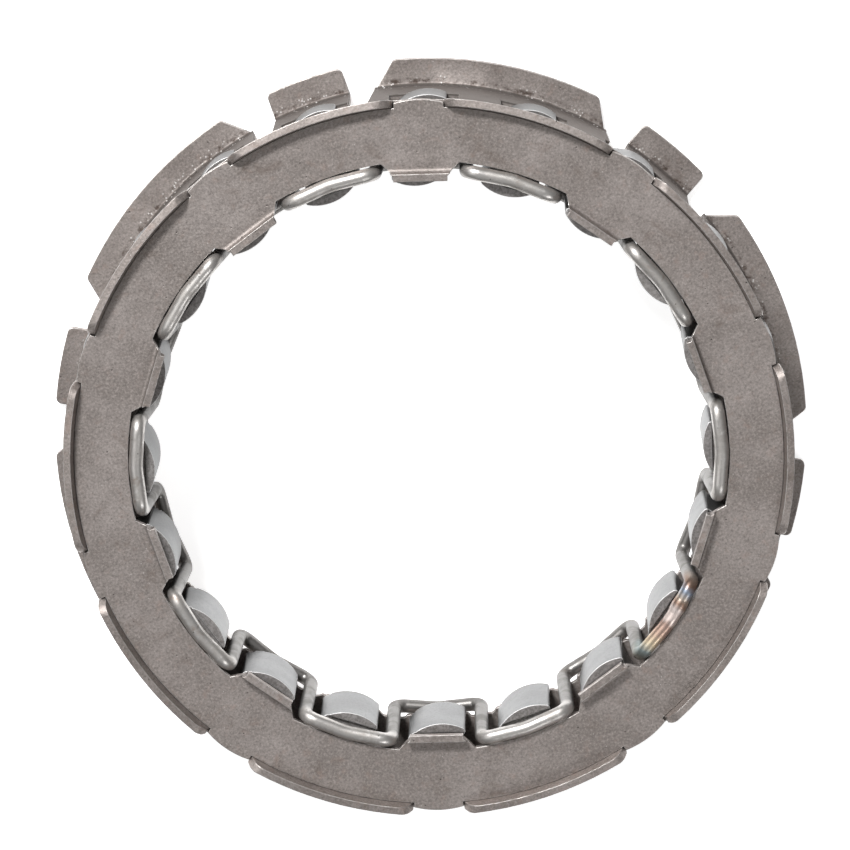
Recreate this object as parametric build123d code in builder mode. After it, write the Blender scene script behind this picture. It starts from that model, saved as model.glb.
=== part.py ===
"""Sprag clutch insert for a starter drive: one-way clutch cage without races.

Two nested pressed cages carry twenty sprags. One serpentine wire spring threads
between them, in front of every second sprag and behind the others.
The ring axis is Z. The back face of the tabbed flange lies at Z = 0 and the
lips of the outer cage point up. Lengths are in millimetres, angles in degrees.
"""

import math
import os

from build123d import *

# Inner race that the clutch runs on, and the sprag space from it to the outer race
HUB_DIAMETER = 54.765
SPRAG_SPACE = 8.33

# Sheet, overall width and running clearances
SHEET = 0.75
OVERALL_WIDTH = 16.2
RACE_CLEARANCE = 0.4
NEST_CLEARANCE = 0.05
END_CLEARANCE = 0.1
WINDOW_CLEARANCE = 0.2

# Sprags: a long nose on the hub side, a shorter body and a short outer lobe
SPRAG_COUNT = 20
NOSE_LENGTH = 9.3
BODY_LENGTH = 8.6
LOBE_LENGTH = 4.8
NOSE_DEPTH = 0.9
LOBE_DEPTH = 3.2
FREE_PROUD_IN = 0.28
FREE_PROUD_OUT = 0.09
INNER_CAM_RADIUS = 4.7
OUTER_CAM_RADIUS = 4.4
INNER_CAM_SHIFT = 0.5
OUTER_CAM_SHIFT = -0.8
INNER_HALF_WIDTH = 2.95
OUTER_HALF_WIDTH = 2.8
WAIST_HALF_WIDTH = 2.2
SPRAG_EDGE_RADIUS = 0.35
SPRAG_TRAVEL = 14.0

# Front lips of the outer cage and the notches between them
LIP_HEIGHT = 3.8
LIP_LEAN = 11.3
LIP_CORNER = 0.5
NOTCH_WIDTH = 5.1

# Tabbed flange at the back of the outer cage, and the slots between its tabs
FLANGE_REACH = 2.69
CREASE_RADIUS = 0.35
LONG_TAB_ANGLE = 32.0
LONG_TAB_SLANT = 35.0
SHORT_TAB_WIDTH = 7.9
TAB_CORNER = 0.6
TAB_PAIRS = 6
SLOT_HEIGHT = 10.4
SLOT_WIDTH = 2.0
SLOT_SLANT = 0.6

# Inner cage
LIP_PROUD = 1.25
PLATE_GAP = 2.31
TAB_REACH = 1.89
BACK_TAB_REACH = 1.39
TAB_HEIGHT = 1.15
TAB_BEND = 0.45
TAB_ROOT_WIDTH = 7.9
TAB_END_WIDTH = 5.3
TAB_SLOPE = 1.3
KEY_PROUD = 0.1
KEY_CLEARANCE = 0.12
CAGE_CORNER = 0.3

# Serpentine spring
WIRE_DIAMETER = 1.4
WIRE_BEND = 1.2
RUN_KINK_RADIUS = 7.0
RUN_PROUD = 0.1
WIRE_CLEARANCE = 0.04
LEG_DROP = 0.06
HUB_GAP = 0.05
WELD_GROWTH = 0.09
WELD_LENGTH = 1.6
WELD_RUN = 17
WELD_PLACE = 0.4

# Worked out from the sizes above
PITCH = 360 / SPRAG_COUNT
TAB_COUNT = SPRAG_COUNT // 2
HUB_RADIUS = HUB_DIAMETER / 2
RACE_RADIUS = HUB_RADIUS + SPRAG_SPACE
WALL_OUTER = RACE_RADIUS - RACE_CLEARANCE
WALL_INNER = WALL_OUTER - SHEET
CAGE_OUTER = WALL_INNER - NEST_CLEARANCE
CAGE_INNER = CAGE_OUTER - SHEET
FLANGE_RADIUS = WALL_OUTER + FLANGE_REACH
CUT_BACK_RADIUS = HUB_RADIUS + PLATE_GAP
TAB_EDGE_RADIUS = CUT_BACK_RADIUS - TAB_REACH
FLARE_START = OVERALL_WIDTH - LIP_HEIGHT
FLARE_SLOPE = math.tan(math.radians(LIP_LEAN))
FRONT_FACE = OVERALL_WIDTH - LIP_PROUD
POCKET_TOP = FRONT_FACE - SHEET
POCKET_LENGTH = NOSE_LENGTH + 2 * END_CLEARANCE
POCKET_BOTTOM = POCKET_TOP - POCKET_LENGTH
BACK_FACE = POCKET_BOTTOM - SHEET
MIDDLE = (POCKET_TOP + POCKET_BOTTOM) / 2
KEY_REACH = WALL_OUTER + KEY_PROUD
SPRAG_INNER = HUB_RADIUS - FREE_PROUD_IN
SPRAG_OUTER = RACE_RADIUS + FREE_PROUD_OUT
INNER_CENTRE = SPRAG_INNER + INNER_CAM_RADIUS
OUTER_CENTRE = SPRAG_OUTER - OUTER_CAM_RADIUS
WAIST_RADIUS = (SPRAG_INNER + SPRAG_OUTER) / 2
LEADING_ANGLE = math.degrees(math.asin((OUTER_HALF_WIDTH + OUTER_CAM_SHIFT) / OUTER_CAM_RADIUS))
LEADING_REACH = OUTER_CAM_RADIUS * math.sin(math.radians(LEADING_ANGLE + SPRAG_TRAVEL)) - OUTER_CAM_SHIFT
WINDOW_WIDTH = OUTER_HALF_WIDTH + LEADING_REACH + 2 * WINDOW_CLEARANCE
WINDOW_SHIFT = (OUTER_HALF_WIDTH - LEADING_REACH) / 2
WINDOW_LENGTH = LOBE_LENGTH + 2 * WINDOW_CLEARANCE
WIRE_RADIUS = WIRE_DIAMETER / 2
RUN_RADIUS = CUT_BACK_RADIUS - WIRE_RADIUS - WIRE_CLEARANCE
BACK_RUN_RADIUS = HUB_RADIUS + HUB_GAP + WIRE_RADIUS
FRONT_RUN_HEIGHT = FRONT_FACE + RUN_PROUD
BACK_RUN_HEIGHT = BACK_FACE - WIRE_CLEARANCE - WIRE_RADIUS

os.makedirs("parts", exist_ok=True)


def save(part, name):
    """Label a finished piece and write it as its own STEP file."""
    part.label = name
    export_step(part, f"parts/{name}.step")


def polar(radius, angle):
    """Point in the XY plane at a radius and an angle in degrees."""
    return (radius * math.cos(math.radians(angle)), radius * math.sin(math.radians(angle)))


def build_outer_cage():
    """Thin sleeve with a tabbed flange behind, flared lips in front and a window per sprag."""
    lean = math.radians(LIP_LEAN)
    inner_top = (WALL_INNER + LIP_HEIGHT * FLARE_SLOPE, OVERALL_WIDTH)
    outer_top = (inner_top[0] + SHEET * math.cos(lean), OVERALL_WIDTH - SHEET * math.sin(lean))
    outer_start = FLARE_START - SHEET * math.tan(lean / 2)

    with BuildPart() as cage:
        with BuildSketch(Plane.XZ):
            with BuildLine():
                Polyline(
                    (WALL_INNER, 0),
                    (WALL_INNER, FLARE_START),
                    inner_top,
                    outer_top,
                    (WALL_OUTER, outer_start),
                    (WALL_OUTER, SHEET),
                    (FLANGE_RADIUS, SHEET),
                    (FLANGE_RADIUS, 0),
                    (WALL_INNER, 0),
                )
            make_face()
        revolve(axis=Axis.Z)
        crease = cage.edges().filter_by(GeomType.CIRCLE).group_by(Axis.Z)
        back_corner = [edge for edge in crease[0] if abs(edge.radius - WALL_INNER) < SHEET / 2]
        fillet(back_corner, CREASE_RADIUS + SHEET)
        inside = [
            edge
            for edge in cage.edges().filter_by(GeomType.CIRCLE)
            if abs(edge.radius - WALL_OUTER) < 0.01 and abs(edge.center().Z - SHEET) < 0.01
        ]
        fillet(inside, CREASE_RADIUS)

        with BuildSketch(Plane.XY.offset(-SHEET)):
            add(flange_gaps())
        extrude(amount=2 * SHEET + CREASE_RADIUS, mode=Mode.SUBTRACT)

        outer_corners = [
            edge
            for edge in cage.edges().filter_by(Axis.Z)
            if math.hypot(edge.center().X, edge.center().Y) > FLANGE_RADIUS - SHEET
        ]
        fillet(outer_corners, TAB_CORNER)

        with PolarLocations(WALL_OUTER, SPRAG_COUNT):
            with Locations((0, WINDOW_SHIFT, MIDDLE)):
                Box(4 * SHEET, WINDOW_WIDTH, WINDOW_LENGTH, mode=Mode.SUBTRACT)
        with PolarLocations(WALL_OUTER, TAB_COUNT):
            with Locations((0, 0, POCKET_TOP - NEST_CLEARANCE)):
                Box(
                    6 * SHEET,
                    NOTCH_WIDTH,
                    OVERALL_WIDTH,
                    align=(Align.CENTER, Align.CENTER, Align.MIN),
                    mode=Mode.SUBTRACT,
                )
        lip_ends = [
            edge
            for edge in cage.edges()
            if edge.center().Z > OVERALL_WIDTH - SHEET / 2 and abs(edge.length - SHEET) < NEST_CLEARANCE
        ]
        fillet(lip_ends, LIP_CORNER)
        with BuildSketch(*slot_planes()):
            Polygon(
                (-SLOT_WIDTH / 2 - SLOT_SLANT, -SHEET),
                (SLOT_WIDTH / 2, -SHEET),
                (SLOT_WIDTH / 2, SLOT_HEIGHT),
                (-SLOT_WIDTH / 2, SLOT_HEIGHT),
                align=None,
            )
        extrude(amount=2 * SHEET, both=True, mode=Mode.SUBTRACT)
    return cage.part


def slot_planes():
    """Planes that face the wall at each slot, with X pointing at the short tab beside it."""
    short_half = math.degrees(math.asin(SHORT_TAB_WIDTH / 2 / WALL_OUTER))
    offset = 180 / TAB_PAIRS - short_half - math.degrees(SLOT_WIDTH / 2 / WALL_OUTER)
    planes = []
    for tab in range(TAB_PAIRS):
        for side in (1, -1):
            angle = tab * 360 / TAB_PAIRS + side * offset
            x, y = polar(WALL_OUTER, angle)
            planes.append(Plane(origin=(x, y, 0), x_dir=(-side * y, side * x, 0), z_dir=(side * x, side * y, 0)))
    return planes


def flange_gaps():
    """Sketch of the V-shaped gaps that divide the back flange into long and short tabs."""
    base = WALL_OUTER + NEST_CLEARANCE
    beyond = FLANGE_RADIUS + SHEET
    short_half = SHORT_TAB_WIDTH / 2
    slant = math.tan(math.radians(LONG_TAB_SLANT))
    short_centre = 180 / TAB_PAIRS
    edge = polar(FLANGE_RADIUS, LONG_TAB_ANGLE / 2)
    radial = polar(1, LONG_TAB_ANGLE / 2)
    along = (-radial[1], radial[0])

    def long_side(radius):
        """Point on the slanted side of the long tab, beside the gap."""
        depth = FLANGE_RADIUS - radius
        x = edge[0] - depth * radial[0] + depth * slant * along[0]
        y = edge[1] - depth * radial[1] + depth * slant * along[1]
        return (x, y)

    def short_side(radius):
        """Point on the parallel side of the short tab, beside the gap."""
        across = math.degrees(math.asin(short_half / radius))
        return polar(radius, short_centre - across)

    with BuildSketch() as gap:
        with BuildLine():
            Line(long_side(base), long_side(beyond))
            Line(long_side(beyond), short_side(beyond))
            Line(short_side(beyond), short_side(base))
            RadiusArc(long_side(base), short_side(base), -base)
        make_face()
    with BuildSketch() as gaps:
        with PolarLocations(0, TAB_PAIRS):
            add(gap.sketch)
            add(gap.sketch.mirror(Plane.XZ))
    return gaps.sketch


def build_cage_tab():
    """One inner tab of the inner cage, on +X, with its end turned up away from the sprags."""
    outer_bend = TAB_BEND + SHEET
    root = CUT_BACK_RADIUS + SHEET
    slope_end = CUT_BACK_RADIUS - KEY_CLEARANCE - TAB_SLOPE
    with BuildPart() as tab:
        with BuildSketch(Plane.XZ):
            with BuildLine():
                Line((root, POCKET_TOP), (TAB_EDGE_RADIUS + outer_bend, POCKET_TOP))
                RadiusArc(
                    (TAB_EDGE_RADIUS + outer_bend, POCKET_TOP),
                    (TAB_EDGE_RADIUS, POCKET_TOP + outer_bend),
                    outer_bend,
                )
                Line((TAB_EDGE_RADIUS, POCKET_TOP + outer_bend), (TAB_EDGE_RADIUS, FRONT_FACE + TAB_HEIGHT))
                Line(
                    (TAB_EDGE_RADIUS, FRONT_FACE + TAB_HEIGHT),
                    (TAB_EDGE_RADIUS + SHEET, FRONT_FACE + TAB_HEIGHT),
                )
                Line(
                    (TAB_EDGE_RADIUS + SHEET, FRONT_FACE + TAB_HEIGHT),
                    (TAB_EDGE_RADIUS + SHEET, FRONT_FACE + TAB_BEND),
                )
                RadiusArc(
                    (TAB_EDGE_RADIUS + SHEET, FRONT_FACE + TAB_BEND),
                    (TAB_EDGE_RADIUS + outer_bend, FRONT_FACE),
                    -TAB_BEND,
                )
                Line((TAB_EDGE_RADIUS + outer_bend, FRONT_FACE), (root, FRONT_FACE))
                Line((root, FRONT_FACE), (root, POCKET_TOP))
            make_face()
        extrude(amount=TAB_ROOT_WIDTH, both=True)
        with BuildSketch(Plane.XY.offset(POCKET_TOP - SHEET)):
            with BuildLine():
                Polyline(
                    (TAB_EDGE_RADIUS - SHEET, TAB_END_WIDTH / 2),
                    (slope_end, TAB_END_WIDTH / 2),
                    (slope_end + TAB_SLOPE, TAB_ROOT_WIDTH / 2),
                    (root + SHEET, TAB_ROOT_WIDTH / 2),
                    (root + SHEET, -TAB_ROOT_WIDTH / 2),
                    (slope_end + TAB_SLOPE, -TAB_ROOT_WIDTH / 2),
                    (slope_end, -TAB_END_WIDTH / 2),
                    (TAB_EDGE_RADIUS - SHEET, -TAB_END_WIDTH / 2),
                    close=True,
                )
            make_face()
        extrude(amount=OVERALL_WIDTH, mode=Mode.INTERSECT)
    return tab.part


def build_inner_cage():
    """Channel ring: flanges in front of and behind the sprags, joined by a wall with windows."""
    front_tab = build_cage_tab()
    key_width = NOTCH_WIDTH - 2 * KEY_CLEARANCE
    with BuildPart() as cage:
        with BuildSketch(Plane.XZ):
            with BuildLine():
                Polyline(
                    (CUT_BACK_RADIUS, BACK_FACE),
                    (CAGE_OUTER, BACK_FACE),
                    (CAGE_OUTER, FLARE_START),
                    (CAGE_OUTER + (FRONT_FACE - FLARE_START) * FLARE_SLOPE, FRONT_FACE),
                    (CUT_BACK_RADIUS, FRONT_FACE),
                    (CUT_BACK_RADIUS, POCKET_TOP),
                    (CAGE_INNER, POCKET_TOP),
                    (CAGE_INNER, POCKET_BOTTOM),
                    (CUT_BACK_RADIUS, POCKET_BOTTOM),
                    close=True,
                )
            make_face()
        revolve(axis=Axis.Z)
        back_edges = cage.edges().filter_by(GeomType.CIRCLE).group_by(Axis.Z)[0]
        fillet(back_edges.sort_by(SortBy.RADIUS)[-1], CAGE_CORNER)
        with PolarLocations(CAGE_OUTER, SPRAG_COUNT):
            with Locations((0, WINDOW_SHIFT, MIDDLE)):
                Box(4 * SHEET, WINDOW_WIDTH, WINDOW_LENGTH, mode=Mode.SUBTRACT)
        with BuildSketch(Plane.XY.offset(POCKET_TOP)):
            with PolarLocations(0, TAB_COUNT):
                with Locations(((KEY_REACH + CAGE_INNER) / 2, 0)):
                    Rectangle(KEY_REACH - CAGE_INNER, key_width)
        extrude(amount=SHEET)
        with PolarLocations(0, TAB_COUNT):
            add(front_tab)
        with BuildSketch(Plane.XY.offset(BACK_FACE)):
            with PolarLocations(CUT_BACK_RADIUS - BACK_TAB_REACH, TAB_COUNT, start_angle=PITCH):
                Rectangle(BACK_TAB_REACH + SHEET, TAB_END_WIDTH, align=(Align.MIN, Align.CENTER))
        extrude(amount=SHEET)
    return cage.part


def inner_cam(across):
    """Radius from the ring axis of the inner cam face at an offset across the sprag."""
    return INNER_CENTRE - math.sqrt(INNER_CAM_RADIUS**2 - (across - INNER_CAM_SHIFT) ** 2)


def outer_cam(across):
    """Radius from the ring axis of the outer cam face at an offset across the sprag."""
    return OUTER_CENTRE + math.sqrt(OUTER_CAM_RADIUS**2 - (across - OUTER_CAM_SHIFT) ** 2)


def build_sprag():
    """One sprag on +X: two offset cam faces, hollow flanks, a long nose and a short outer lobe."""
    with BuildPart() as sprag:
        with BuildSketch(Plane.XY.offset(MIDDLE)):
            with BuildLine():
                ThreePointArc(
                    (outer_cam(-OUTER_HALF_WIDTH), -OUTER_HALF_WIDTH),
                    (SPRAG_OUTER, OUTER_CAM_SHIFT),
                    (outer_cam(OUTER_HALF_WIDTH), OUTER_HALF_WIDTH),
                )
                ThreePointArc(
                    (outer_cam(OUTER_HALF_WIDTH), OUTER_HALF_WIDTH),
                    (WAIST_RADIUS, WAIST_HALF_WIDTH),
                    (inner_cam(INNER_HALF_WIDTH), INNER_HALF_WIDTH),
                )
                ThreePointArc(
                    (inner_cam(INNER_HALF_WIDTH), INNER_HALF_WIDTH),
                    (SPRAG_INNER, INNER_CAM_SHIFT),
                    (inner_cam(-INNER_HALF_WIDTH), -INNER_HALF_WIDTH),
                )
                ThreePointArc(
                    (inner_cam(-INNER_HALF_WIDTH), -INNER_HALF_WIDTH),
                    (WAIST_RADIUS, -WAIST_HALF_WIDTH),
                    (outer_cam(-OUTER_HALF_WIDTH), -OUTER_HALF_WIDTH),
                )
            make_face()
        extrude(amount=NOSE_LENGTH / 2, both=True)
        fillet(sprag.edges().filter_by(Axis.Z), SPRAG_EDGE_RADIUS)
        for side in (1, -1):
            for length, start in (
                (BODY_LENGTH, SPRAG_INNER + NOSE_DEPTH),
                (LOBE_LENGTH, SPRAG_OUTER - LOBE_DEPTH),
            ):
                with BuildSketch(Plane.XY.offset(MIDDLE + side * length / 2)):
                    with Locations((start, 0)):
                        Rectangle(SPRAG_OUTER, SPRAG_OUTER, align=(Align.MIN, Align.CENTER))
                extrude(amount=side * NOSE_LENGTH, mode=Mode.SUBTRACT)
    return sprag.part


def spring_path_points():
    """Corner points of the closed serpentine, and the bend radius at each of them."""
    points = []
    radii = []
    for index in range(SPRAG_COUNT):
        in_front = index % 2 == 1
        run = RUN_RADIUS if in_front else BACK_RUN_RADIUS
        height = FRONT_RUN_HEIGHT if in_front else BACK_RUN_HEIGHT
        centre = index * PITCH
        for radius, angle, bend in (
            (run - LEG_DROP, centre - PITCH / 2, WIRE_BEND),
            (run, centre, RUN_KINK_RADIUS),
            (run - LEG_DROP, centre + PITCH / 2, WIRE_BEND),
        ):
            x, y = polar(radius, angle)
            points.append((x, y, height))
            radii.append(bend)
    return points, radii


def build_spring():
    """Wire bent to and fro round the sprags, its ends joined by a weld in one front run."""
    points, radii = spring_path_points()
    kink = Vector(*polar(RUN_RADIUS, WELD_RUN * PITCH), FRONT_RUN_HEIGHT)
    corner = Vector(*polar(RUN_RADIUS - LEG_DROP, (WELD_RUN + 0.5) * PITCH), FRONT_RUN_HEIGHT)
    along = (corner - kink).normalized()
    weld = Plane(origin=kink + (corner - kink) * WELD_PLACE, x_dir=along, z_dir=(0, 0, 1))
    with BuildPart() as spring:
        with BuildLine() as path:
            FilletPolyline(*points, radius=radii, close=True)
        with BuildSketch(Plane(origin=path.line @ 0, z_dir=path.line % 0)):
            Circle(WIRE_RADIUS)
        sweep(path=path.wires()[0])
        with BuildSketch(weld):
            with BuildLine():
                Line((-WELD_LENGTH / 2, 0), (WELD_LENGTH / 2, 0))
                Line((WELD_LENGTH / 2, 0), (WELD_LENGTH / 2, WIRE_RADIUS))
                ThreePointArc(
                    (WELD_LENGTH / 2, WIRE_RADIUS),
                    (0, WIRE_RADIUS + WELD_GROWTH),
                    (-WELD_LENGTH / 2, WIRE_RADIUS),
                )
                Line((-WELD_LENGTH / 2, WIRE_RADIUS), (-WELD_LENGTH / 2, 0))
            make_face()
        revolve(axis=Axis(weld.origin, along))
    return spring.part


outer_cage = build_outer_cage()
save(outer_cage, "outer_cage")

inner_cage = build_inner_cage()
save(inner_cage, "inner_cage")

spring = build_spring()
save(spring, "serpentine_spring")

first_sprag = build_sprag()
for number in range(SPRAG_COUNT):
    turned = first_sprag.rotate(Axis.Z, number * PITCH)
    save(turned, f"sprag_{number + 1:02d}")
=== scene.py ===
"""Sprag clutch insert dressed in Blender: steel finishes, weld tint, floor, light and camera."""
import math

import bmesh
import bpy
from mathutils import Matrix, Vector


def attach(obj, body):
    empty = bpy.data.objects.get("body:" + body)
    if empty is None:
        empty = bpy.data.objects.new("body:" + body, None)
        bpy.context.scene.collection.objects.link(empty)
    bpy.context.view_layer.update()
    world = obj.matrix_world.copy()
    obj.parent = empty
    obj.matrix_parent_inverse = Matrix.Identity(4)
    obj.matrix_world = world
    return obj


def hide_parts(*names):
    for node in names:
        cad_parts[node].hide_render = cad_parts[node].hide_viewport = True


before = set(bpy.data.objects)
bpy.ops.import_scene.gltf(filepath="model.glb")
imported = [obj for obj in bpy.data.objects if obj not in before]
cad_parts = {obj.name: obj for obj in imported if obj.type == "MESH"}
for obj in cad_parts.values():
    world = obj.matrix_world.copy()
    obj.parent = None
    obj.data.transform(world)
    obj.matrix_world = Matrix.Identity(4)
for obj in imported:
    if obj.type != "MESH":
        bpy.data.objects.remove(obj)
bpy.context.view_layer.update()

MM = 0.001
COUNT = 20
PITCH = math.radians(360 / COUNT)

# The welded front run of the spring, and how far its heat tint reaches from the run's middle
WELD_RUN = 17
RUN_RADIUS = 28.95
RUN_HEIGHT = 15.05
TINT_REACH = 5.0

# Cages in millimetres, as in the solids: lips, notches, keys, sleeve, flange crease and back plate
OVERALL_WIDTH = 16.2
POCKET_TOP = 14.2
POCKET_BOTTOM = 4.7
NOTCH_HALF = 2.55
LIP_CORNER = 0.5
KEY_REACH = 35.4125
KEY_CLEARANCE = 0.12
WALL_RADIUS = 35.31
FLARE_START = 12.4
CREASE_RADIUS = 35.75
CREASE_TOP = 2.0
CUT_BACK_RADIUS = 29.6925

# Finer shapes that only the visual cages have
LIP_END_RADIUS = 1.75
LIP_END_SPREAD = 6.0
KEY_BULGE = 0.33
KEY_CUTS = 15
BACK_PLATE_RADIUS = 28.55
BACK_RIM_CUTS = 5
LEG_NOTCH_RADIUS = 28.95
LEG_NOTCH_HALF = 1.15
LEG_NOTCH_RAMP = 0.35

# Tolerances in millimetres for picking out edges and corners of the meshes
MERGE = 0.0005
FINE = 0.01
RIM_SLACK = 0.02
SPLIT_RIM_SLACK = 0.05
NEAR = 0.1

# Sharp edges in degrees, and the largest upward part of an upright wall's normal
SHARP_ANGLE = 28
WALL_RISE = 0.1

# Shades of the steel and its marks, in linear light
OUTER_LIGHT = (0.335, 0.300, 0.282)
OUTER_DARK = (0.245, 0.216, 0.200)
INNER_LIGHT = (0.335, 0.300, 0.283)
INNER_DARK = (0.245, 0.217, 0.201)
STAIN = (0.140, 0.100, 0.078)
BLUSH = (0.330, 0.235, 0.195)
PIT = (0.035, 0.028, 0.024)
SPECK = (0.66, 0.63, 0.60)
# Worn edge, lightened partly as real wear and partly as a painted highlight
WORN_AND_HIGHLIT_EDGE = (0.62, 0.60, 0.58)
# Painted shade on the sleeve wall below the lips' flare
PAINTED_WALL_SHADE = (0.100, 0.088, 0.081)
# Painted shade and painted glints along the flange crease
CREASE_SHADE = (0.070, 0.048, 0.038)
GLINT = (0.80, 0.78, 0.76)
GROUND_DARK = (0.180, 0.182, 0.185)
GROUND_LIGHT = (0.222, 0.224, 0.227)
GRIND_LINE = (0.31, 0.312, 0.315)
SPRAG_GRAIN = (0.085, 0.085, 0.087)
END_FACE_DARK = (0.20, 0.185, 0.178)
END_FACE_LIGHT = (0.37, 0.35, 0.34)
# Painted shade on the sprags' outer lobes, seen through the cage windows
LOBE_SHADE = (0.100, 0.098, 0.098)
# Painted highlight along the sprags' edges
PAINTED_EDGE_HIGHLIGHT = (0.90, 0.90, 0.90)
WIRE_BRIGHT = (0.52, 0.50, 0.48)
WIRE_DULL = (0.38, 0.36, 0.34)
WIRE_STREAK = (0.70, 0.69, 0.68)
WIRE_BROWN = (0.25, 0.175, 0.135)
WIRE_SPOT = (0.06, 0.05, 0.045)
# Painted shade on the spring's legs
WIRE_LEG_SHADE = (0.120, 0.115, 0.110)

# Heat tint along the welded run: millimetres from the run's middle, and shade
TINT_STOPS = (
    (-4.8, (0.17, 0.16, 0.13)),
    (-3.8, (0.22, 0.27, 0.27)),
    (-2.9, (0.50, 0.41, 0.28)),
    (-1.5, (0.46, 0.31, 0.24)),
    (-0.3, (0.33, 0.22, 0.18)),
    (0.1, (0.64, 0.54, 0.50)),
    (1.5, (0.60, 0.52, 0.49)),
    (2.1, (0.27, 0.16, 0.11)),
    (2.7, (0.44, 0.37, 0.31)),
    (3.4, (0.23, 0.28, 0.36)),
    (4.2, (0.17, 0.10, 0.07)),
    (5.0, (0.30, 0.22, 0.17)),
)

# Half width of the floor in metres, and its gap below the ring in millimetres
FLOOR_HALF = 1.2
FLOOR_GAP = 0.05

# Photograph's size and ring centre in pixels, and the ring's turn in it
IMAGE_SIZE = 850
CENTRE_PX = (428.5, 461.4)
PHOTO_TURN = math.radians(19.5)

# Camera's tilt in degrees, distance and sensor in millimetres, and focal length in pixels of the photograph
TILT_UP = 10.8
TILT_RIGHT = 0.8
DISTANCE = 558.0
FOCAL_PX = 5667.0
SENSOR = 36.0

# Studio glow from the horizon to overhead, and the upward share at which it is full
HORIZON_GLOW = 0.10
OVERHEAD_GLOW = 0.28
FULL_GLOW_RISE = 0.9


class Nodes:
    """Short calls for building one material's node tree."""

    def __init__(self, name):
        self.material = bpy.data.materials.new(name)
        self.material.use_nodes = True
        self.tree = self.material.node_tree
        self.tree.nodes.clear()
        self.output = self.new("ShaderNodeOutputMaterial")
        self.shader = self.new("ShaderNodeBsdfPrincipled")
        self.link(self.shader.outputs["BSDF"], self.output.inputs["Surface"])
        self.place = self.new("ShaderNodeTexCoord").outputs["Object"]
        self.facing = self.new("ShaderNodeNewGeometry").outputs["Normal"]

    def new(self, kind, **settings):
        node = self.tree.nodes.new(kind)
        for key, value in settings.items():
            setattr(node, key, value)
        return node

    def link(self, source, target):
        self.tree.links.new(source, target)

    def feed(self, target, value):
        """Links a socket, or sets a plain value."""
        if isinstance(value, bpy.types.NodeSocket):
            self.link(value, target)
        else:
            target.default_value = value

    def math(self, operation, first, second=0.0):
        node = self.new("ShaderNodeMath", operation=operation)
        self.feed(node.inputs[0], first)
        self.feed(node.inputs[1], second)
        return node.outputs[0]

    def times(self, first, second):
        return self.math("MULTIPLY", first, second)

    def height(self, vector):
        """The Z part of a vector."""
        split = self.new("ShaderNodeSeparateXYZ")
        self.link(vector, split.inputs[0])
        return split.outputs["Z"]

    def noise(self, per_mm, detail=3.0, rough=0.55, distortion=0.0, stretch=(1, 1, 1), offset=(0, 0, 0)):
        """Noise with features of about 1 / per_mm millimetres."""
        mapping = self.new("ShaderNodeMapping")
        mapping.inputs["Scale"].default_value = [per_mm / MM * s for s in stretch]
        mapping.inputs["Location"].default_value = offset
        self.link(self.place, mapping.inputs["Vector"])
        node = self.new("ShaderNodeTexNoise")
        node.inputs["Scale"].default_value = 1.0
        node.inputs["Detail"].default_value = detail
        node.inputs["Roughness"].default_value = rough
        node.inputs["Distortion"].default_value = distortion
        self.link(mapping.outputs[0], node.inputs["Vector"])
        return node.outputs[0]

    def cells(self, per_mm, offset):
        """Distance to the nearest cell point, for pits and bright specks."""
        mapping = self.new("ShaderNodeMapping")
        mapping.inputs["Scale"].default_value = [per_mm / MM] * 3
        mapping.inputs["Location"].default_value = offset
        self.link(self.place, mapping.inputs["Vector"])
        node = self.new("ShaderNodeTexVoronoi")
        node.inputs["Scale"].default_value = 1.0
        self.link(mapping.outputs[0], node.inputs["Vector"])
        return node.outputs["Distance"]

    def ramp(self, value, low, high):
        """Smooth rise from 0 at low to 1 at high, where low may be the larger value."""
        node = self.new("ShaderNodeMapRange", interpolation_type="SMOOTHSTEP")
        self.feed(node.inputs["Value"], value)
        node.inputs["From Min"].default_value = low
        node.inputs["From Max"].default_value = high
        return node.outputs[0]

    def mix(self, factor, first, second):
        """Colour mix."""
        node = self.new("ShaderNodeMix", data_type="RGBA")
        self.feed(node.inputs[0], factor)
        for socket, value in ((node.inputs[6], first), (node.inputs[7], second)):
            if isinstance(value, bpy.types.NodeSocket):
                self.link(value, socket)
            else:
                socket.default_value = (*value, 1.0)
        return node.outputs[2]

    def lay(self, colour, mask, strength, shade):
        """Lays a shade over a colour at the given strength where the mask is 1."""
        return self.mix(self.times(mask, strength), colour, shade)

    def length(self, vector):
        size = self.new("ShaderNodeVectorMath", operation="LENGTH")
        self.link(vector, size.inputs[0])
        return size.outputs["Value"]

    def spread(self):
        """Distance from the ring axis in metres."""
        flat = self.new("ShaderNodeVectorMath", operation="MULTIPLY")
        self.link(self.place, flat.inputs[0])
        flat.inputs[1].default_value = (1, 1, 0)
        return self.length(flat.outputs[0])

    def ring(self, radius, full, none, below):
        """1 within full of a radius, 0 beyond none, and only under a height, all in millimetres."""
        off = self.math("ABSOLUTE", self.math("SUBTRACT", self.spread(), radius * MM))
        band = self.ramp(off, none * MM, full * MM)
        low = self.math("LESS_THAN", self.height(self.place), below * MM)
        return self.times(band, low)

    def rounded(self, radius):
        """Normal of the faces with their edges rounded by a radius in metres."""
        bevel = self.new("ShaderNodeBevel", samples=8)
        bevel.inputs["Radius"].default_value = radius
        return bevel.outputs[0]

    def edges(self, radius):
        """1 near sharp edges within the radius in metres, 0 on flat or gently curved faces."""
        dot = self.new("ShaderNodeVectorMath", operation="DOT_PRODUCT")
        self.link(self.rounded(radius), dot.inputs[0])
        self.link(self.facing, dot.inputs[1])
        return self.ramp(self.math("SUBTRACT", 1.0, dot.outputs["Value"]), 0.01, 0.16)

    def bump(self, height, strength, distance, under=None):
        """Normal with a relief on it, over another normal where one is given."""
        node = self.new("ShaderNodeBump")
        node.inputs["Strength"].default_value = strength
        node.inputs["Distance"].default_value = distance
        self.link(height, node.inputs["Height"])
        if under is not None:
            self.link(under, node.inputs["Normal"])
        return node.outputs[0]

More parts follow.
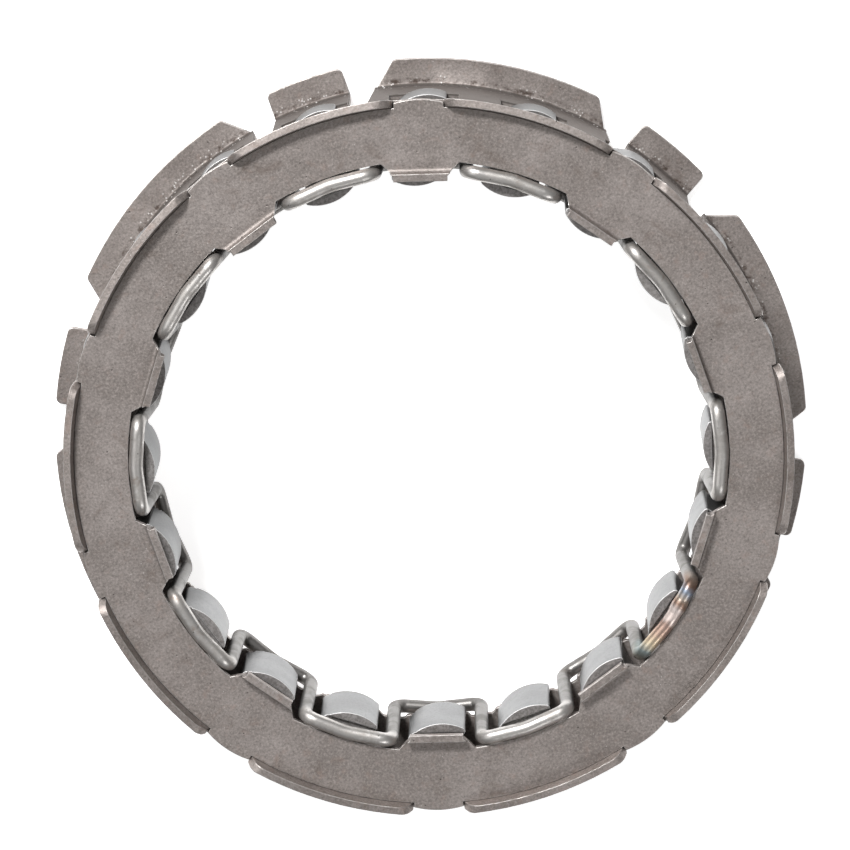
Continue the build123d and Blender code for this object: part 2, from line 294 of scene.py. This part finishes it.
    def finish(self, colour, metallic, rough, normal):
        """Feeds the shader, and gives the material."""
        self.link(colour, self.shader.inputs["Base Color"])
        self.shader.inputs["Metallic"].default_value = metallic
        self.feed(self.shader.inputs["Roughness"], rough)
        self.link(normal, self.shader.inputs["Normal"])
        return self.material


def mottled_sheet(n, light, dark, grain, shift):
    """Clouded and grained grey-brown sheet with stains and a warm blush."""
    cloud = n.ramp(n.noise(0.16, 5, 0.6, 0.3, offset=(shift, 0, 0)), 0.32, 0.70)
    colour = n.mix(cloud, dark, light)
    colour = n.lay(colour, n.ramp(grain, 0.48, 0.70), 0.50, [c * 1.50 for c in light])
    colour = n.lay(colour, n.ramp(grain, 0.50, 0.31), 0.58, [c * 0.52 for c in dark])
    stain = n.ramp(n.noise(0.30, 6, 0.65, 0.8, offset=(0, 0, shift)), 0.54, 0.74)
    colour = n.lay(colour, stain, 0.45, STAIN)
    blush = n.ramp(n.noise(0.85, 4, 0.6, offset=(shift, 5, 3)), 0.55, 0.75)
    return n.lay(colour, blush, 0.30, BLUSH)


def sheet_pits(n, shift):
    """Mask of small pits that gather in patches."""
    pit = n.ramp(n.cells(1.15, (shift, shift, 0)), 0.13, 0.05)
    return n.times(pit, n.ramp(n.noise(0.42, 2, offset=(shift, 3, 1)), 0.50, 0.62))


def sheet_specks(n, shift):
    """Mask of small bright specks that gather in patches."""
    speck = n.ramp(n.cells(1.6, (0, shift, 5)), 0.12, 0.04)
    return n.times(speck, n.ramp(n.noise(0.5, 2, offset=(7, shift, 2)), 0.55, 0.66))


def flange_crease(n, colour):
    """Painted shade and painted glints along the crease between the sleeve and the flange tabs."""
    crease = n.ring(CREASE_RADIUS, 0.10, 0.45, CREASE_TOP)
    # Painted shade: brownish darkening in patches along the crease
    crease_shade = n.times(crease, n.ramp(n.noise(1.1, 4, 0.7), 0.44, 0.66))
    colour = n.lay(colour, crease_shade, 0.85, CREASE_SHADE)
    # Painted glints in patches along the crease
    glint = n.ramp(n.cells(2.6, (1, 2, 3)), 0.30, 0.12)
    glint = n.times(glint, n.ring(CREASE_RADIUS, 0.30, 0.85, CREASE_TOP))
    glint = n.times(glint, n.ramp(n.noise(0.55, 3, offset=(3, 3, 3)), 0.46, 0.58))
    return n.lay(colour, glint, 0.75, GLINT)


def cage_steel(name, light, dark, shift, creased=False):
    """Tumbled pressed sheet with pits, specks and worn edges partly painted as highlights and, where asked
    for, painted shade on the sleeve wall and in the flange crease, with painted glints.
    """
    n = Nodes(name)
    grain = n.noise(4.2, 4, 0.75, offset=(0, shift, 0))
    colour = mottled_sheet(n, light, dark, grain, shift)
    pit = sheet_pits(n, shift)
    colour = n.lay(colour, pit, 0.8, PIT)
    colour = n.lay(colour, sheet_specks(n, shift), 0.7, SPECK)
    # Worn edges, lightened partly as real wear and partly as a painted highlight
    worn_and_highlit = n.times(n.edges(0.20 * MM), n.ramp(n.noise(1.6, 4), 0.28, 0.58))
    colour = n.lay(colour, worn_and_highlit, 0.72, WORN_AND_HIGHLIT_EDGE)
    rough = n.math("ADD", 0.46, n.times(grain, 0.18))
    rough = n.math("SUBTRACT", rough, n.times(worn_and_highlit, 0.16))
    if creased:
        # Painted shade: the sleeve wall below the lips' flare is darkened, and also made rougher
        wall = n.ring(WALL_RADIUS, 0.14, 0.30, FLARE_START)
        colour = flange_crease(n, n.lay(colour, wall, 0.80, PAINTED_WALL_SHADE))
        rough = n.math("ADD", rough, n.times(wall, 0.25))
    relief = n.math("SUBTRACT", grain, n.times(pit, 1.6))
    fine = n.bump(relief, 0.42, 0.05 * MM, under=n.rounded(0.13 * MM))
    dents = n.bump(n.noise(0.35, 3, offset=(shift, 1, 1)), 0.24, 0.30 * MM, under=fine)
    return n.finish(colour, 0.80, rough, dents)


def sprag_steel():
    """Ground and tumbled hardened steel: satin cams, painted shade on the outer lobes, mottled end faces and
    painted edge highlights.
    """
    n = Nodes("sprag_steel_satin")
    end = n.ramp(n.math("ABSOLUTE", n.height(n.facing)), 0.80, 0.97)
    lines = n.noise(1.1, 5, 0.7, stretch=(3.4, 3.4, 0.45))
    speckle = n.noise(3.6, 4, 0.75)
    colour = n.mix(n.ramp(n.noise(0.30, 3, 0.5), 0.35, 0.65), GROUND_DARK, GROUND_LIGHT)
    colour = n.lay(colour, n.ramp(lines, 0.42, 0.70), 0.35, GRIND_LINE)
    colour = n.lay(colour, n.ramp(speckle, 0.52, 0.34), 0.36, SPRAG_GRAIN)
    face = n.mix(n.ramp(speckle, 0.35, 0.65), END_FACE_DARK, END_FACE_LIGHT)
    colour = n.lay(colour, end, 0.85, face)
    # Painted shade: the outer lobes darken further out from the axis
    colour = n.lay(colour, n.ramp(n.spread(), 33.6 * MM, 34.6 * MM), 0.60, LOBE_SHADE)
    # Painted highlight along the sprags' edges
    colour = n.lay(colour, n.edges(0.17 * MM), 0.80, PAINTED_EDGE_HIGHLIGHT)
    rough = n.math("ADD", 0.33, n.times(lines, 0.14))
    rough = n.math("ADD", rough, n.times(end, 0.20))
    relief = n.math("ADD", n.times(lines, 0.6), n.times(speckle, 0.4))
    return n.finish(colour, 0.88, rough, n.bump(relief, 0.16, 0.03 * MM, under=n.rounded(0.14 * MM)))


def drawn_wire(n, streak, dull):
    """Satin wire with dull stretches, brown patches and dark spots, and painted shade on the legs below the
    front runs.
    """
    colour = n.mix(dull, WIRE_BRIGHT, WIRE_DULL)
    colour = n.lay(colour, n.ramp(streak, 0.50, 0.74), 0.45, WIRE_STREAK)
    brown = n.ramp(n.noise(0.42, 4, 0.65, 0.6, offset=(2, 9, 4)), 0.60, 0.74)
    colour = n.lay(colour, brown, 0.55, WIRE_BROWN)
    spot = n.times(n.ramp(n.cells(1.4, (4, 1, 2)), 0.16, 0.06), n.ramp(streak, 0.45, 0.55))
    colour = n.lay(colour, spot, 0.7, WIRE_SPOT)
    # Painted shade: the legs darken below the front runs
    leg = n.ramp(n.height(n.place), (RUN_HEIGHT - 0.2) * MM, (RUN_HEIGHT - 1.8) * MM)
    return n.lay(colour, leg, 0.80, WIRE_LEG_SHADE)


def tint_bar(n, place):
    """Heat tint at a place given in metres along the welded run from its middle."""
    tint = n.new("ShaderNodeValToRGB")
    bar = tint.color_ramp
    while len(bar.elements) < len(TINT_STOPS):
        bar.elements.new(0.5)
    for element, (millimetres, shade) in zip(bar.elements, TINT_STOPS):
        element.position = millimetres / (2 * TINT_REACH) + 0.5
        element.color = (*shade, 1.0)
    share = n.math("ADD", n.math("DIVIDE", place, 2 * TINT_REACH * MM), 0.5)
    n.link(share, tint.inputs[0])
    return tint.outputs[0]


def wire_steel(weld, along):
    """Drawn wire with the weld's heat tint round a point, laid out along a direction."""
    n = Nodes("spring_wire_satin")
    streak = n.noise(1.9, 5, 0.7)
    dull = n.ramp(n.noise(0.55, 4, 0.6, 0.5), 0.42, 0.66)
    colour = drawn_wire(n, streak, dull)
    offset = n.new("ShaderNodeVectorMath", operation="SUBTRACT")
    n.link(n.place, offset.inputs[0])
    offset.inputs[1].default_value = weld
    travel = n.new("ShaderNodeVectorMath", operation="DOT_PRODUCT")
    n.link(offset.outputs[0], travel.inputs[0])
    travel.inputs[1].default_value = along
    wobble = n.times(n.math("SUBTRACT", n.noise(0.9, 3), 0.5), 1.3 * MM)
    tint = tint_bar(n, n.math("ADD", travel.outputs["Value"], wobble))
    near = n.ramp(n.length(offset.outputs[0]), (TINT_REACH + 0.9) * MM, (TINT_REACH - 0.5) * MM)
    colour = n.lay(colour, near, 0.92, tint)
    rough = n.math("ADD", 0.32, n.times(dull, 0.18))
    rough = n.math("ADD", rough, n.times(streak, 0.10))
    return n.finish(colour, 0.85, rough, n.bump(streak, 0.20, 0.05 * MM))


def floor_paper():
    """Matt white paper, faintly mottled, that glows a little so that it stays white."""
    n = Nodes("floor_paper")
    colour = n.mix(n.noise(0.02, 2), (0.90, 0.90, 0.90), (0.93, 0.93, 0.93))
    n.shader.inputs["Emission Color"].default_value = (1.0, 1.0, 1.0, 1.0)
    n.shader.inputs["Emission Strength"].default_value = 0.72
    return n.finish(colour, 0.0, 0.9, n.bump(n.noise(0.8, 3), 0.05, 0.1 * MM))


def dress_nodes():
    """Gives every node of the frame its finish."""
    turn = WELD_RUN * PITCH
    around = Vector((math.cos(turn), math.sin(turn), 0))
    weld_point = (around * RUN_RADIUS + Vector((0, 0, RUN_HEIGHT))) * MM
    weld_along = Vector((-math.sin(turn), math.cos(turn), 0))
    finishes = {
        "outer_cage": cage_steel("outer_cage_tumbled", OUTER_LIGHT, OUTER_DARK, 0.0, creased=True),
        "inner_cage": cage_steel("inner_cage_tumbled", INNER_LIGHT, INNER_DARK, 11.3),
        "serpentine_spring": wire_steel(weld_point, weld_along),
    }
    satin = sprag_steel()
    for name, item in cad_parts.items():
        finish = finishes.get(name, satin)
        if not item.data.materials:
            item.data.materials.append(finish)
        for slot in item.material_slots:
            slot.material = finish


def finer_copy(name, reshape):
    """Visual copy of a cage with finer shapes, riding on the cage in the solid's place."""
    piece = bpy.data.objects.new(name + "_dressed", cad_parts[name].data.copy())
    bpy.context.scene.collection.objects.link(piece)
    mesh = bmesh.new()
    mesh.from_mesh(piece.data)
    bmesh.ops.remove_doubles(mesh, verts=mesh.verts, dist=MERGE * MM)
    reshape(mesh)
    mesh.to_mesh(piece.data)
    mesh.free()
    if "custom_normal" in piece.data.attributes:
        piece.data.attributes.remove(piece.data.attributes["custom_normal"])
    piece.data.shade_smooth()
    piece.data.set_sharp_from_angle(angle=math.radians(SHARP_ANGLE))
    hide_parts(name)
    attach(piece, "cage")


def radius_mm(vert):
    return vert.co.to_2d().length / MM


def angle_of(vert):
    return math.atan2(vert.co.y, vert.co.x)


def nearest_key(angle):
    """Angle of the nearest key, which is also the middle of a notch between two lips."""
    return round(angle / (2 * PITCH)) * 2 * PITCH


def round_lip_ends(mesh):
    """Larger rounding on both ends of each lip, spread along the lip so that no face folds."""
    start = OVERALL_WIDTH - LIP_END_RADIUS
    for vert in mesh.verts:
        height = vert.co.z / MM
        if height < start:
            continue
        radius = radius_mm(vert)
        angle = angle_of(vert)
        along = (angle - nearest_key(angle)) * radius
        rise = min(height - start, LIP_END_RADIUS)
        back = LIP_END_RADIUS - math.sqrt(LIP_END_RADIUS**2 - rise**2)
        inward = max(0.0, abs(along) - NOTCH_HALF)
        fade = max(0.0, 1 - max(0.0, inward - LIP_CORNER) / LIP_END_SPREAD)
        shift = max(0.0, back - min(inward, LIP_CORNER)) * fade
        vert.co = Matrix.Rotation(math.copysign(shift / radius, along), 3, "Z") @ vert.co


def is_flat(edge):
    """True for an edge at one height."""
    return abs(edge.verts[0].co.z - edge.verts[1].co.z) < FINE * MM


def is_upright(edge):
    """True for an edge along the ring's axis."""
    return (edge.verts[0].co - edge.verts[1].co).to_2d().length < FINE * MM


def is_key_edge(edge):
    """True for the outer edge of a key, on either face of the front plate."""
    high = edge.verts[0].co.z / MM > POCKET_TOP - NEAR
    outside = all(radius_mm(vert) > KEY_REACH for vert in edge.verts)
    return high and outside and edge.calc_length() > NOTCH_HALF * MM


def on_back_rim(vert, slack):
    """True within a slack of the back plate's inner radius."""
    return abs(radius_mm(vert) - CUT_BACK_RADIUS) < slack


def is_back_rim(edge):
    """True for a stretch of the back plate's inner rim."""
    low = edge.verts[0].co.z / MM < POCKET_BOTTOM + NEAR
    return low and all(on_back_rim(vert, RIM_SLACK) for vert in edge.verts)


def split_rims(mesh, edges, cuts):
    """Cuts thin rim walls across, so that their two long edges can be bent together."""
    walls = {face for edge in edges for face in edge.link_faces if abs(face.normal.z) < WALL_RISE}
    inside = [edge for edge in mesh.edges if all(face in walls for face in edge.link_faces)]
    diagonals = [edge for edge in inside if not is_flat(edge) and not is_upright(edge)]
    bmesh.ops.dissolve_edges(mesh, edges=diagonals)
    kept = [edge for edge in edges if edge.is_valid]
    bmesh.ops.subdivide_edges(mesh, edges=kept, cuts=cuts, use_grid_fill=True)


def bulge_key(vert):
    """Moves a corner on a key's outer edge out to a gentle curve."""
    angle = angle_of(vert)
    turn = nearest_key(angle)
    across = (angle - turn) * radius_mm(vert)
    bulge = KEY_BULGE * max(0.0, 1 - (across / (NOTCH_HALF - KEY_CLEARANCE)) ** 2)
    vert.co += Vector((math.cos(turn), math.sin(turn), 0)) * bulge * MM


def reach_in(vert):
    """Moves a corner on the back plate's rim in to the spring, less far beside each leg."""
    angle = angle_of(vert)
    radius = radius_mm(vert)
    leg = (math.floor(angle / PITCH) + 0.5) * PITCH
    away = abs(angle - leg) * radius - LEG_NOTCH_HALF
    share = min(1.0, max(0.0, away / LEG_NOTCH_RAMP))
    inner = LEG_NOTCH_RADIUS + (BACK_PLATE_RADIUS - LEG_NOTCH_RADIUS) * share
    vert.co.x *= inner / radius
    vert.co.y *= inner / radius


def widen_plates(mesh):
    """Bulged key edges, and a back plate that reaches in to the spring, notched for its legs."""
    flat = [edge for edge in mesh.edges if is_flat(edge)]
    keys = [edge for edge in flat if is_key_edge(edge)]
    back_rim = [edge for edge in flat if is_back_rim(edge)]
    split_rims(mesh, keys, KEY_CUTS)
    split_rims(mesh, back_rim, BACK_RIM_CUTS)
    for vert in mesh.verts:
        height = vert.co.z / MM
        if height > POCKET_TOP - NEAR and radius_mm(vert) > KEY_REACH - FINE:
            bulge_key(vert)
        if height < POCKET_BOTTOM + NEAR and on_back_rim(vert, SPLIT_RIM_SLACK):
            reach_in(vert)


def add_floor():
    """White sheet just under the ring."""
    sheet = bpy.data.meshes.new("floor")
    corners = [(x * FLOOR_HALF, y * FLOOR_HALF, 0) for x, y in ((-1, -1), (1, -1), (1, 1), (-1, 1))]
    sheet.from_pydata(corners, [], [(0, 1, 2, 3)])
    floor = bpy.data.objects.new("floor", sheet)
    floor.location = (0, 0, -FLOOR_GAP * MM)
    bpy.context.scene.collection.objects.link(floor)
    sheet.materials.append(floor_paper())


def add_camera(image_right, image_up):
    """Camera at the photograph's angle and distance, with the ring where the photograph has it."""
    towards = Vector((0, 0, 1)) + image_up * math.tan(math.radians(TILT_UP))
    towards += image_right * math.tan(math.radians(TILT_RIGHT))
    towards.normalize()
    across_x = (image_right - towards * image_right.dot(towards)).normalized()
    across_y = towards.cross(across_x)
    px_per_mm = FOCAL_PX / DISTANCE
    aim = Vector((0, 0, OVERALL_WIDTH))
    aim -= across_x * ((CENTRE_PX[0] - IMAGE_SIZE / 2) / px_per_mm)
    aim += across_y * ((CENTRE_PX[1] - IMAGE_SIZE / 2) / px_per_mm)
    data = bpy.data.cameras.new("camera")
    data.sensor_width = SENSOR
    data.lens = FOCAL_PX / IMAGE_SIZE * SENSOR
    data.clip_start = 0.01
    camera = bpy.data.objects.new("camera", data)
    bpy.context.scene.collection.objects.link(camera)
    turn = Matrix((across_x, across_y, towards)).transposed().to_4x4()
    camera.matrix_world = Matrix.Translation((aim + towards * DISTANCE) * MM) @ turn
    bpy.context.scene.camera = camera


def softbox(name, place, size, power):
    """Area light of a size in metres and a power in watts at a place, aimed at the ring."""
    data = bpy.data.lights.new(name, "AREA")
    data.shape = "RECTANGLE"
    data.size = size[0]
    data.size_y = size[1]
    data.energy = power
    lamp = bpy.data.objects.new(name, data)
    lamp.location = place
    lamp.rotation_euler = (-place).to_track_quat("-Z", "Y").to_euler()
    bpy.context.scene.collection.objects.link(lamp)


def add_softboxes(image_right, image_up):
    """Key light from the image's upper left, a wide fill from the left and a low one from the lower right."""
    up = Vector((0, 0, 1))
    softbox("key_softbox", image_right * -0.33 + image_up * 0.68 + up * 0.72, (0.22, 0.20), 15.0)
    softbox("fill_softbox", image_right * -0.65 + image_up * -0.05 + up * 0.80, (0.5, 0.7), 1.2)
    softbox("low_softbox", image_right * 0.38 + image_up * -0.52 + up * 0.62, (0.40, 0.22), 1.7)


def add_studio_glow():
    """White surroundings that are dim at the horizon and brighter overhead."""
    world = bpy.data.worlds.new("studio")
    world.use_nodes = True
    sky = world.node_tree
    heading = sky.nodes.new("ShaderNodeTexCoord")
    parts = sky.nodes.new("ShaderNodeSeparateXYZ")
    fade = sky.nodes.new("ShaderNodeMapRange")
    fade.interpolation_type = "SMOOTHSTEP"
    fade.inputs["From Min"].default_value = 0.0
    fade.inputs["From Max"].default_value = FULL_GLOW_RISE
    fade.inputs["To Min"].default_value = HORIZON_GLOW
    fade.inputs["To Max"].default_value = OVERHEAD_GLOW
    sky.links.new(heading.outputs["Generated"], parts.inputs[0])
    sky.links.new(parts.outputs["Z"], fade.inputs["Value"])
    sky.links.new(fade.outputs[0], sky.nodes["Background"].inputs["Strength"])
    sky.nodes["Background"].inputs["Color"].default_value = (1, 1, 1, 1)
    bpy.context.scene.world = world


dress_nodes()
finer_copy("outer_cage", round_lip_ends)
finer_copy("inner_cage", widen_plates)
add_floor()
photo_right = Vector((math.cos(PHOTO_TURN), -math.sin(PHOTO_TURN), 0))
photo_up = Vector((math.sin(PHOTO_TURN), math.cos(PHOTO_TURN), 0))
add_camera(photo_right, photo_up)
add_softboxes(photo_right, photo_up)
add_studio_glow()
bpy.context.scene.view_settings.view_transform = "Standard"
